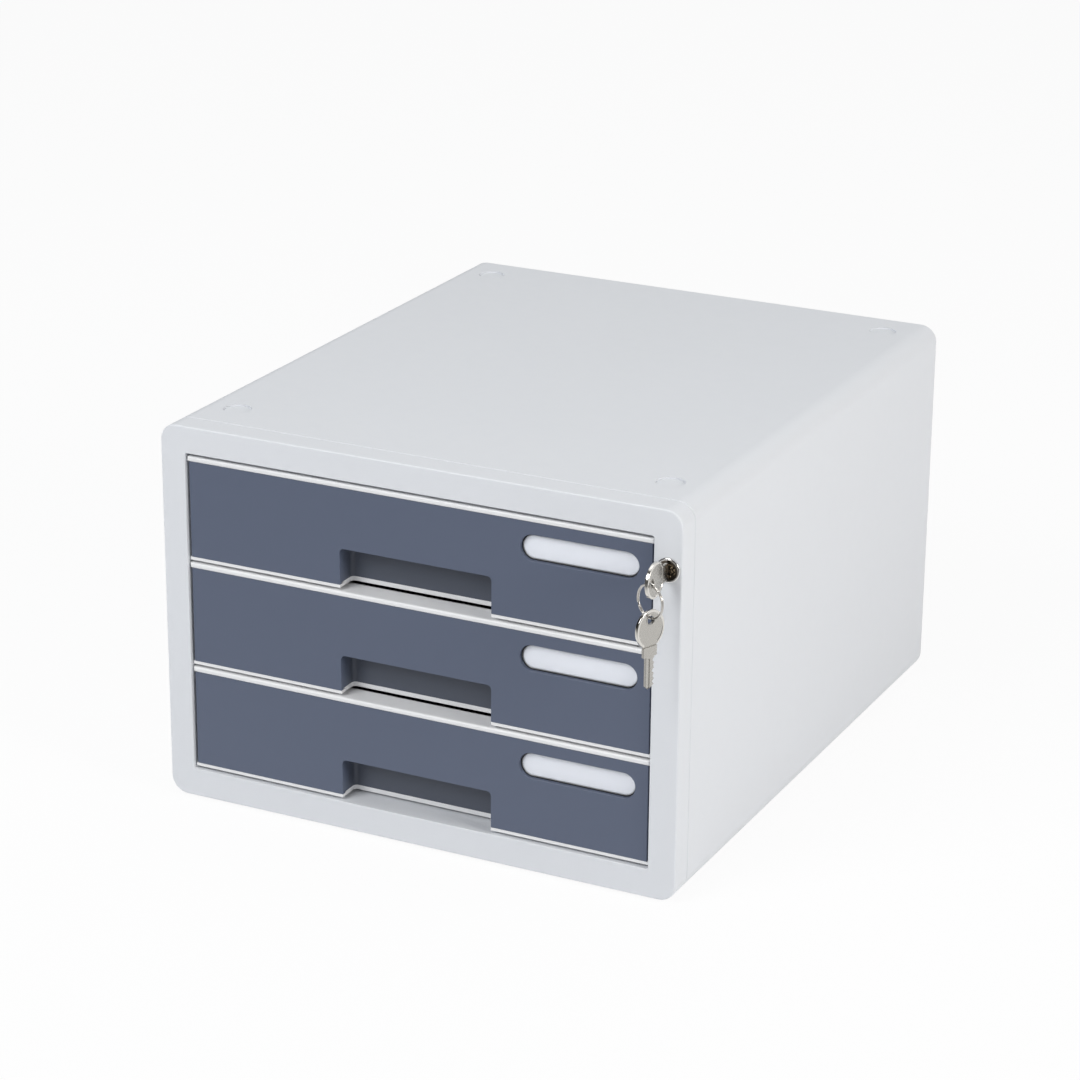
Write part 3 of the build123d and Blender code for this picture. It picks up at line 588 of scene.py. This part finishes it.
# %% Key sizes in mm, in its own plane: x towards the blade, y across, z through the thickness
BOW_LENGTH, BOW_WIDTH = 10.5, 9.7        # half sizes of the bow
BOW_FOOT = 9.1                           # where the bow ends in a straight step
BOW_HALF = 1.0                           # half thickness
ROLL = 0.45                              # radius of the rolled edge
RIM_MIDDLE, RIM_WIDTH = 0.7, 1.25        # from the outline inwards
RIM_STEP = 0.2                           # the slope from the rim down to the field
FIELD_DEPTH = 0.22                       # how far the coined field lies below the rim
HOLE_X, HOLE_RADIUS = -4.9, 2.3
HOLE_BEVEL, HOLE_RIM, HOLE_STEP = 0.25, 0.75, 0.15
FIRST_RIM_STRIP = 6                      # strips of the bow's front before its polished rim

SHANK_START = 7.0                        # inside the bow
SHANK_HALF = 0.80                        # half thickness
FOOT_GROOVE = 0.45, 0.6                  # the press's groove ends and the shank starts
SHOULDER_END, SHOULDER_HALF = 15.2, 4.8
SHOULDER_BEVEL = 0.25
SHOULDER_STEP = 0.05                     # from corner to corner of the step down to the blade
BLADE_END, BLADE_HALF = 33.3, 3.0
EDGE_BEVEL = 0.16
TIP_RUN = 1.9                            # before the end, the blade begins to narrow
TIP_RISE = 0.2                           # from the last cut's floor to the cut edge at that place
TIP_CORNER = 0.2, -0.9                   # a corner this far before the end, at this y
TIP_HIGH, TIP_LOW = -1.1, -1.15          # y of both edges at the end
FOOT_SHARE, TIP_SHARE = 0.5, 0.45        # shares of the thickness, in the foot's groove and at the tip
TIP_THINNING = 1.0                       # before the end, the blade begins to grow thin
CUTS = (1.1, 0.6, 1.4, 0.8, 1.2)         # depths
CUT_FIRST, CUT_PITCH = 2.2, 3.0          # from the shoulder, and from cut to cut
CUT_HALF, CREST, CREST_DROP = 0.35, 1.45, 0.15
SLOT_DEPTH = 0.42                        # the blade's groove
SLOT_WALLS = (-1.62, -1.45, -0.35, -0.18)
SLOT_MARGIN = 0.3                        # least distance from its walls to the blade's edges
SLOT_RUN = 0.8, 1.4                      # it sinks to its depth between these, from the shoulder
print("key", round(BOW_LENGTH + BLADE_END, 1), "mm long,", 2 * BOW_HALF, "mm thick")


# %% Bow
def bow_outline(angle):
    """Distance from the bow's centre: an ellipse, cut by a straight foot on the blade's side."""
    ellipse = 1 / np.sqrt((np.cos(angle) / BOW_LENGTH) ** 2 + (np.sin(angle) / BOW_WIDTH) ** 2)
    foot = BOW_FOOT / np.maximum(np.cos(angle), 1e-6)
    return np.where(np.cos(angle) > 0, np.minimum(ellipse, foot), ellipse)


def bow_band(around=144):
    """Rings of the bow as a grid that closes both ways.

    Each ring is the outline moved inwards along its normal by a distance, at a height. The rings
    near the hole lie on circles round the hole, and the field between is a straight blend.
    """
    angle = np.linspace(0, 2 * math.pi, around, endpoint=False)
    circle = np.stack([np.cos(angle), np.sin(angle)], -1)
    outline = bow_outline(angle)[:, None] * circle
    tangent = np.roll(outline, -1, 0) - np.roll(outline, 1, 0)
    inward = np.stack([-tangent[:, 1], tangent[:, 0]], -1)
    inward /= np.linalg.norm(inward, axis=1, keepdims=True)

    def hole(wider):
        return np.array([HOLE_X, 0]) + (HOLE_RADIUS + wider) * circle

    field = BOW_HALF - FIELD_DEPTH
    field_start = hole(HOLE_RIM + HOLE_STEP)
    field_end = outline + (RIM_WIDTH + RIM_STEP) * inward
    front = [(hole(0), BOW_HALF - HOLE_BEVEL), (hole(HOLE_BEVEL), BOW_HALF),
             (hole(HOLE_RIM), BOW_HALF), (field_start, field)]
    front += [(field_start * (1 - k) + field_end * k, field) for k in (0.33, 0.67, 1.0)]
    front += [(outline + RIM_WIDTH * inward, BOW_HALF), (outline + RIM_MIDDLE * inward, BOW_HALF)]
    front += [(outline + ROLL * (1 - math.sin(a)) * inward, BOW_HALF - ROLL * (1 - math.cos(a)))
              for a in np.linspace(0, math.pi / 2, 5)]
    rear = [(flat, -height) for flat, height in reversed(front)]
    return np.stack([np.column_stack([flat, np.full(around, height)])
                     for flat, height in front + rear])


def polished_rim(rings, around, face_count):
    """1 on the faces of the bow's rim and rolled edge, but not along its straight foot."""
    strip, column = np.divmod(np.arange(rings * around), around)
    on_rim = (strip >= FIRST_RIM_STRIP) & (strip < rings - 1 - FIRST_RIM_STRIP)
    curved = BOW_LENGTH * np.cos(2 * math.pi * column / around) < BOW_FOOT
    bright = np.zeros(face_count)
    bright[:rings * around] = on_rim & curved
    return bright


print("bow's rings, points round and coordinates", bow_band().shape)


# %% Shank
def shank_loft():
    """Sections of the shank from inside the bow to the tip, each a closed loop.

    At each x the section runs from the plain edge to the cut edge. Both edges follow straight
    lines between corners. Both faces sink by the groove's depth between its walls.
    """
    cut_x = [SHOULDER_END + CUT_FIRST + CUT_PITCH * k for k in range(len(CUTS))]
    bevel_start, bevel_end = SHOULDER_END - SHOULDER_BEVEL, SHOULDER_END + SHOULDER_STEP
    blade_start, tip_start = SHOULDER_END + 2 * SHOULDER_STEP, BLADE_END - TIP_RUN
    shoulder_edge = SHOULDER_HALF - SHOULDER_BEVEL
    cut_edge = [(SHANK_START, SHOULDER_HALF), (bevel_start, SHOULDER_HALF),
                (bevel_end, shoulder_edge), (blade_start, BLADE_HALF),
                (cut_x[0] - CUT_PITCH / 2, BLADE_HALF)]
    for centre, deep in zip(cut_x, CUTS):
        cut_edge += [(centre - CUT_HALF, BLADE_HALF - deep), (centre + CUT_HALF, BLADE_HALF - deep),
                     (centre + CREST, BLADE_HALF - CREST_DROP)]
    cut_edge += [(tip_start, BLADE_HALF - CUTS[-1] + TIP_RISE),
                 (BLADE_END - TIP_CORNER[0], TIP_CORNER[1]), (BLADE_END, TIP_HIGH)]
    plain_edge = [(SHANK_START, -SHOULDER_HALF), (bevel_start, -SHOULDER_HALF),
                  (bevel_end, -shoulder_edge), (blade_start, -BLADE_HALF),
                  (tip_start, -BLADE_HALF), (BLADE_END, TIP_LOW)]
    groove_end, shank_face = (BOW_FOOT + run for run in FOOT_GROOVE)
    x = np.unique(np.concatenate([[corner[0] for corner in cut_edge], [groove_end, shank_face],
                                  np.linspace(SHANK_START, BLADE_END, 90)]))
    high = np.interp(x, *zip(*cut_edge))
    low = np.interp(x, *zip(*plain_edge))
    thick = SHANK_HALF * np.interp(x, [groove_end, shank_face, BLADE_END - TIP_THINNING, BLADE_END],
                                   [FOOT_SHARE, 1.0, 1.0, TIP_SHARE])
    sink = SLOT_DEPTH * np.interp(x, [SHOULDER_END + run for run in SLOT_RUN], [0.0, 1.0])
    middle = (low + high) / 2
    wall = [np.clip(np.full_like(x, y), np.minimum(low + SLOT_MARGIN, middle),
                    np.maximum(high - SLOT_MARGIN, middle)) for y in SLOT_WALLS]
    face = [(low, thick - EDGE_BEVEL), (low + EDGE_BEVEL, thick), (wall[0], thick),
            (wall[1], thick - sink), (wall[2], thick - sink), (wall[3], thick),
            (high - EDGE_BEVEL, thick), (high, thick - EDGE_BEVEL)]
    loop = face + [(y, -z) for y, z in reversed(face)]
    return np.stack([np.column_stack([x, y, z]) for y, z in loop], axis=1)


print("shank's sections, points round and coordinates", shank_loft().shape)


# %% Whole key
def key_mesh(origin, x_way, y_way, z_way):
    """Points in metres, faces and polished faces of a key.

    origin is the bow's centre, and the ways are unit vectors along the key's own axes.
    """
    band, loft = bow_band(), shank_loft()
    flat = np.concatenate([band.reshape(-1, 3), with_poles(loft)])
    points = origin + MM * (flat @ np.array([x_way, y_way, z_way]))
    rings, around = band.shape[:2]
    bow = facing_out(points - origin, [grid_faces(rings, around, wrap_rows=True)])
    shank = facing_out(points - origin, tube_faces(*loft.shape[:2], first=rings * around))
    faces = bow + shank
    return points, faces, polished_rim(rings, around, sum(len(part) for part in faces))


def add_key(name, origin, ways, body, replaced):
    """A key as a piece on its body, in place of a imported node."""
    points, face_sets, bright = key_mesh(np.array(origin), *ways)
    piece = add_piece(name, points, face_sets, nickel_finish, body,
                      second=(rim_finish, bright))
    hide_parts(replaced)


key_low, _ = corners_of("key")
add_key("lock_key", [lock_x, key_low[1] + BOW_LENGTH * MM, lock_z],
        ([0, 1, 0], [0, 0, 1], [1, 0, 0]), "key_in_lock", "key")

spare_turn = RING_TURN + math.pi / 2
spare_low, spare_high = corners_of("spare_key")
spare_middle = (spare_low + spare_high) / 2
add_key("hanging_key", [spare_middle[0], spare_middle[1], spare_high[2] - BOW_LENGTH * MM],
        ([0, 0, -1], [math.cos(spare_turn), math.sin(spare_turn), 0],
         [math.sin(spare_turn), -math.cos(spare_turn), 0]), "spare", "spare_key")

# %% [markdown]
# ## The lock's barrel
#
# The barrel is turned with a dished flange, so the rim catches the light, and the dish is dark by a
# painted dark reflection in its finish. Behind the flange it has two flats for the clip, and the
# thread that stock barrels have.
# A Screw modifier could carry its profile round the axis, but the flats would then be a cut of
# their own. In a grid they are only where the radius is held down to a plane's distance.

# %% Barrel sizes in mm: radii, and depths behind the front face
FLANGE_RADIUS, FLANGE_ROUND = 6.8, 0.6
FLANGE_SIDE = 1.0                        # the flange's side, in front of the bezel
DISH = [(4.17, -1.12), (4.3, -1.2), (5.75, -1.5), (5.95, -1.6)]
BARREL_RADIUS = 5.3
FLANGE_BACK, BARREL_START, PLAIN_END = -0.02, -0.01, 7.0
CLIP_GROOVE = [2.66, 2.7, 4.1, 4.14]     # depths where the flats start and end
FLAT_HALF = 4.5                          # axis to flat
THREAD_START, THREAD_PITCH, THREAD_TURNS, THREAD_DEPTH = 7.2, 0.5, 26, 0.25
BARREL_TAIL = [(5.3, 20.9), (5.0, 21.3), (4.2, 21.3), (4.15, 21.2)]
print("barrel", round(BARREL_TAIL[1][1] + FLANGE_SIDE + FLANGE_ROUND, 1), "mm long")


# %% Barrel
def barrel_grid(around=128):
    """Rows are points of the profile, and columns go round the axis.

    Between the groove's walls the radius is the smaller of the profile's and the flat's: the
    flat's distance over the cosine of the angle from the x axis.
    """
    rim = [(FLANGE_RADIUS - FLANGE_ROUND * (1 - math.cos(a)),
            -FLANGE_SIDE - FLANGE_ROUND * math.sin(a)) for a in np.linspace(math.pi / 2, 0, 7)]
    profile = DISH + rim + [(FLANGE_RADIUS, FLANGE_BACK), (BARREL_RADIUS, BARREL_START)]
    profile += [(BARREL_RADIUS, y) for y in (*CLIP_GROOVE, PLAIN_END)]
    for turn in range(THREAD_TURNS):
        crest = THREAD_START + THREAD_PITCH * turn
        profile += [(BARREL_RADIUS, crest),
                    (BARREL_RADIUS - THREAD_DEPTH, crest + THREAD_PITCH / 2)]
    radii, depths = np.array(profile + BARREL_TAIL).T[..., None]
    angle = np.linspace(0, 2 * math.pi, around, endpoint=False)
    flat = FLAT_HALF / np.maximum(np.abs(np.cos(angle)), 1e-6)
    in_groove = (depths > CLIP_GROOVE[0] + 0.01) & (depths < CLIP_GROOVE[-1] - 0.01)
    radius = np.where(in_groove, np.minimum(radii, flat), radii)
    return np.stack([lock_x + MM * radius * np.cos(angle),
                     np.broadcast_to(front_y + MM * depths, radius.shape),
                     lock_z + MM * radius * np.sin(angle)], -1)


grid = barrel_grid()
barrel = add_piece("lock_barrel", grid, [grid_faces(*grid.shape[:2], wrap_rows=True)],
                   dish_finish, "housing", sharp=28)
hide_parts("lock_cylinder")

# %% [markdown]
# ## Painted shadow strips round the label windows
#
# The gap between each clear window and its panel is in deep shade. It could be painted on by a finish,
# but it lies in the gap and stands out a little, so the painted shadow is a thin dark strip, in the
# feet's rubber finish. Its section is carried round the window's outline: two half circles joined by
# straight runs.

# %% Shadow strips
WINDOW_FLANGE = 1.4 * MM                 # the window's raised part lies this far within its box
SHADOW_STRIP_INSET = 0.36 * MM                   # raised part's outline to the strip's middle
SHADOW_STRIP_HALF_WIDE, SHADOW_STRIP_HALF_DEEP = 0.31 * MM, 0.12 * MM
SHADOW_STRIP_BACK = 0.13 * MM                    # window's front to the strip's middle


def stadium_line(centre_x, centre_z, half_long, half_high, steps=24):
    """Points and outward directions of a round-ended outline in the x, z plane."""
    bend = np.linspace(-math.pi / 2, math.pi / 2, steps)
    right = np.stack([np.cos(bend), np.sin(bend)], -1)
    way = np.concatenate([right, -right])
    shift = np.repeat([1.0, -1.0], steps)[:, None] * np.array([half_long - half_high, 0])
    line = np.array([centre_x, centre_z]) + shift + half_high * way
    return line, way


def shadow_strip_grid(window):
    """A painted shadow strip: a flat-oval section carried round the window's raised part, just inside
    the hole.

    The section is a power curve, as the split ring's, of power 0.6: wide in the outline's plane
    and thin in depth.
    """
    low, high = corners_of(window)
    half = (high - low) / 2 - WINDOW_FLANGE - SHADOW_STRIP_INSET
    middle = (low + high) / 2
    line, way = stadium_line(middle[0], middle[2], half[0], half[2])
    wide, deep = oval(12, 0.6)
    across = line[:, None] + SHADOW_STRIP_HALF_WIDE * wide[None, :, None] * way[:, None]
    depth = np.broadcast_to(low[1] + SHADOW_STRIP_BACK + SHADOW_STRIP_HALF_DEEP * deep, across.shape[:2])
    return np.stack([across[..., 0], depth, across[..., 1]], -1)


# A dark strip of painted shadow lies in each window's gap.
for drawer in (1, 2, 3):
    grid = shadow_strip_grid(f"drawer_{drawer}_label_window")
    add_piece(f"label_gap_shadow_{drawer}", grid, [grid_faces(*grid.shape[:2], wrap_rows=True)],
              rubber_finish, f"drawer_{drawer}")

# %% [markdown]
# ## Rear screws
#
# Four pan-head screws with a cross recess hold the rear panel. The cross could be cut out by a
# Boolean modifier, which leaves long thin faces. Here a head is a disc whose height depends on
# the place: a dome, less a cross whose arms grow shallow outwards. The disc is a grid of radius
# and angle, closed below by a flat underside and a plain shank.

# %% Screw sizes in mm
HEAD_RADIUS, HEAD_HEIGHT = 2.6, 1.6
DOME_SHARE = 0.85                        # how far down a quarter circle the dome goes
CROSS_DEPTH, CROSS_SLOPE = 1.15, 0.62    # depth at the middle, and its loss for each mm outwards
CROSS_HALF, CROSS_WALL = 0.48, 0.1       # half width of an arm, and its wall's slope
FIRST_RING = 0.02                        # radius of the innermost row
SCREW_SHANK = [(HEAD_RADIUS, 0.0), (1.2, -0.01), (1.2, -10.0), (0.4, -11.9)]
print("screw head", 2 * HEAD_RADIUS, "mm wide,", HEAD_HEIGHT, "mm high")


# %% Rear screws
def screw_grid(x, y_face, z, rings=26, around=96):
    """Rows from the head's middle over its dome and down the shank, in metres.

    The dome's height is the head's height times the root of 1 minus (r over the head's radius,
    times the dome's share) squared. The cross takes away its depth, less r times its slope,
    where the smaller distance to the two centre lines of its arms is under its half width.
    """
    angle = np.linspace(0, 2 * math.pi, around, endpoint=False)
    r = np.repeat(np.linspace(FIRST_RING, HEAD_RADIUS, rings)[:, None], around, 1)
    dome = HEAD_HEIGHT * np.sqrt(1 - (DOME_SHARE * r / HEAD_RADIUS) ** 2)
    near = np.minimum(np.abs(r * np.cos(angle)), np.abs(r * np.sin(angle)))
    cross = (np.clip(CROSS_DEPTH - CROSS_SLOPE * r, 0, None)
             * np.clip((CROSS_HALF - near) / CROSS_WALL, 0, 1))
    shank = np.repeat(np.array(SCREW_SHANK)[:, None], around, 1)
    radius = np.concatenate([r, shank[..., 0]])
    height = np.concatenate([dome - cross, shank[..., 1]])
    return np.stack([x + MM * radius * np.cos(angle), y_face + MM * height,
                     z + MM * radius * np.sin(angle)], -1)


rear_low, rear_high = corners_of("rear_screws")
rear_face = rear_high[1] - HEAD_HEIGHT * MM
screw_points, screw_faces = [], []
for x in (rear_low[0] + HEAD_RADIUS * MM, rear_high[0] - HEAD_RADIUS * MM):
    for z in (rear_low[2] + HEAD_RADIUS * MM, rear_high[2] - HEAD_RADIUS * MM):
        grid = screw_grid(x, rear_face, z)
        screw_faces += tube_faces(*grid.shape[:2], first=sum(len(p) for p in screw_points))
        screw_points.append(with_poles(grid))
screws = add_piece("rear_cross_screws", np.concatenate(screw_points), screw_faces, steel_finish,
                   "housing")
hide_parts("rear_screws")

# %% [markdown]
# ## Floor
#
# The cabinet stands on a white floor that fades into a white room. Plain white paint would come
# out grey under soft lamps, and more light would wash out the cabinet. So the floor mixes paint
# with a white that only the camera and mirrors see, and the shadow stays but is faint. Mirrors
# see it white behind the cabinet and dim in front, as in a studio with a white sweep, so bright
# metal shows both.

# %% Who sees it
def seen_rays(tree):
    """Two sockets that are 1 for the camera's rays, and for those of the camera and mirrors."""
    rays = tree.nodes.new("ShaderNodeLightPath").outputs
    mirrored = math_node(tree, "MAXIMUM", rays["Is Glossy Ray"], rays["Is Transmission Ray"])
    return rays["Is Camera Ray"], math_node(tree, "MAXIMUM", rays["Is Camera Ray"], mirrored)


# %% Floor
FLOOR_REACH = 6.0
FLOOR_DIM = 0.12                         # how bright mirrors see the floor in front
FLOOR_FADE = -0.75, -0.25                # y where that brightness starts to rise, and where it is 1
WHITE_SHARE = 0.93                       # of what the camera sees of the floor

floor_mesh = bpy.data.meshes.new("floor")
floor_mesh.from_pydata([(-FLOOR_REACH, -FLOOR_REACH, 0), (FLOOR_REACH, -FLOOR_REACH, 0),
                        (FLOOR_REACH, FLOOR_REACH, 0), (-FLOOR_REACH, FLOOR_REACH, 0)],
                       [], [(0, 1, 2, 3)])
floor = bpy.data.objects.new("floor", floor_mesh)
bpy.context.scene.collection.objects.link(floor)

floor_finish = bpy.data.materials.new("white floor")
floor_finish.use_nodes = True
tree = floor_finish.node_tree
tree.nodes.clear()
paint = tree.nodes.new("ShaderNodeBsdfDiffuse")
paint.inputs["Color"].default_value = (0.85, 0.85, 0.86, 1)
glow = tree.nodes.new("ShaderNodeEmission")
by_camera, seen = seen_rays(tree)
behind = ramp(tree, places(tree)[1], FLOOR_DIM, 1.0, *FLOOR_FADE)
tree.links.new(math_node(tree, "MAXIMUM", by_camera, behind), glow.inputs["Strength"])
mix = tree.nodes.new("ShaderNodeMixShader")
out = tree.nodes.new("ShaderNodeOutputMaterial")
tree.links.new(math_node(tree, "MULTIPLY", seen, WHITE_SHARE), mix.inputs[0])
tree.links.new(paint.outputs[0], mix.inputs[1])
tree.links.new(glow.outputs[0], mix.inputs[2])
tree.links.new(mix.outputs[0], out.inputs["Surface"])
floor_mesh.materials.append(floor_finish)
print("floor", 2 * FLOOR_REACH, "m wide")

# %% [markdown]
# ## Room
#
# The room lights the cabinet evenly and dimly, and the camera sees it white. A panorama of a
# studio could stand round the scene, but two ramps do as well: mirrors see the room white behind
# the cabinet, and dim in front and far to the left, so that bright edges of metal are drawn with
# a dark line beside them.

# %% World
ROOM_LIGHT = 0.30
ROOM_DIM = 0.10                          # how bright mirrors see its dim parts
FRONT_FADE = -0.15, 0.25                 # y of a direction from dim to white
LEFT_FADE = -0.75, -0.50                 # x of a direction from dim to white

world = bpy.data.worlds.new("white room")
bpy.context.scene.world = world
world.use_nodes = True
tree = world.node_tree
tree.nodes.clear()
backdrop = tree.nodes.new("ShaderNodeBackground")
backdrop.inputs["Color"].default_value = (1, 1, 1, 1)
room = tree.nodes.new("ShaderNodeBackground")
room.inputs["Color"].default_value = (0.94, 0.97, 1.0, 1)
room.inputs["Strength"].default_value = ROOM_LIGHT
direction = components(tree, tree.nodes.new("ShaderNodeTexCoord").outputs["Generated"])
bright = math_node(tree, "MULTIPLY", ramp(tree, direction[1], ROOM_DIM, 1.0, *FRONT_FADE),
                   ramp(tree, direction[0], ROOM_DIM, 1.0, *LEFT_FADE))
by_camera, seen = seen_rays(tree)
tree.links.new(math_node(tree, "MAXIMUM", by_camera, bright), backdrop.inputs["Strength"])
mix = tree.nodes.new("ShaderNodeMixShader")
out = tree.nodes.new("ShaderNodeOutputWorld")
tree.links.new(seen, mix.inputs[0])
tree.links.new(room.outputs[0], mix.inputs[1])
tree.links.new(backdrop.outputs[0], mix.inputs[2])
tree.links.new(mix.outputs[0], out.inputs["Surface"])
print("room light", ROOM_LIGHT)

# %% [markdown]
# ## Lamps
#
# Three large soft lamps light the top, the front and the right side. Small lamps or a sun would
# give hard shadows. A large lamp far away gives soft ones and even faces, and its power sets how
# bright the faces that look at it are.

# %% Lamps
def softbox(name, place, target, size, watts, colour=(1, 1, 1)):
    """A square area lamp at place that faces target."""
    data = bpy.data.lights.new(name, "AREA")
    data.shape = "SQUARE"
    data.size = size
    data.energy = watts
    data.color = colour
    lamp = bpy.data.objects.new(name, data)
    bpy.context.scene.collection.objects.link(lamp)
    lamp.location = place
    aim = Vector(target) - Vector(place)
    lamp.rotation_euler = aim.to_track_quat("-Z", "Y").to_euler()


cabinet_middle = (0, 0, 0.11)
softbox("lamp over", (-0.3, 0.2, 2.3), cabinet_middle, size=1.6, watts=6)
softbox("lamp front", (-0.8, -2.0, 1.9), cabinet_middle, size=1.3, watts=40.5)
softbox("lamp side", (2.3, -0.5, 1.1), cabinet_middle, size=0.9, watts=32,
        colour=(1.0, 0.97, 0.93))
